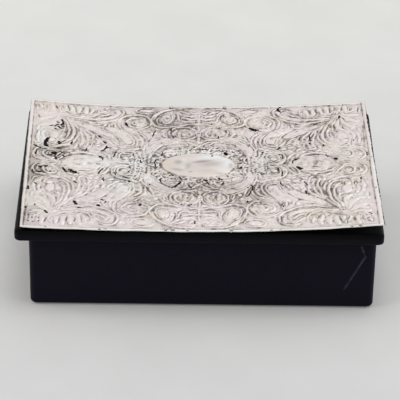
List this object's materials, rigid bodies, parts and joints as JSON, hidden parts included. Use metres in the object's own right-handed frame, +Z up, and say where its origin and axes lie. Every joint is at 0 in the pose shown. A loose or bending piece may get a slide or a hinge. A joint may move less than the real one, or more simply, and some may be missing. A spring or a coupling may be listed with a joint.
{
  "type": "stamp box",
  "caption": "Leather-covered stamp box with sloped stamp compartments and a hinged lid that carries a thin embossed silver sheet, curled up at its ends.",
  "frame": {"origin": "on the surface that the box stands on, under the middle of the lid", "axes": "+X to the right along the box, +Y from the front to the hinges, +Z up"},
  "size_m": [0.102, 0.07, 0.0295],
  "materials": {
    "wood": "bare board",
    "divider_wood": "stained and waxed",
    "lining_silk": "watered silk, aged ivory",
    "lid_silk": "watered silk, aged ivory",
    "body_leather": "fine-grained, navy black, worn matt",
    "lid_leather": "fine-grained, navy black, worn matt",
    "base_baize": "baize",
    "hinge_brass": "dull brass",
    "pin_brass": "dull brass",
    "screw_brass": "dull brass",
    "silver": "embossed silver, worn bright on the high parts and dark in the hollows",
    "silver_pin": "tarnished silver"
  },
  "bodies": {
    "box": {"bottom_board": "wood", "front_wall": "wood", "back_wall": "wood", "left_wall": "wood", "right_wall": "wood", "divider_1": "divider_wood", "divider_2": "divider_wood", "slope_board_1": "wood", "slope_board_2": "wood", "slope_board_3": "wood", "compartment_lining_1": "lining_silk", "compartment_lining_2": "lining_silk", "compartment_lining_3": "lining_silk", "body_leather": "body_leather", "base_panel": "base_baize", "lower_hinge_leaf_left": "hinge_brass", "lower_hinge_leaf_right": "hinge_brass", "hinge_pin_left": "pin_brass", "hinge_pin_right": "pin_brass", "lower_hinge_screws": "screw_brass"},
    "lid": {"lid_board": "wood", "lid_leather": "lid_leather", "lid_lining": "lid_silk", "silver_plate": "silver", "plate_pins": "silver_pin", "upper_hinge_leaf_left": "hinge_brass", "upper_hinge_leaf_right": "hinge_brass", "upper_hinge_screws": "screw_brass"}
  },
  "joints": [
    {"name": "lid_hinge", "type": "hinge", "parent": "box", "child": "lid", "pos_m": [0.001, 0.03285, 0.02265], "axis": [-1, 0, 0], "range_deg": [0, 110]}
  ]
}
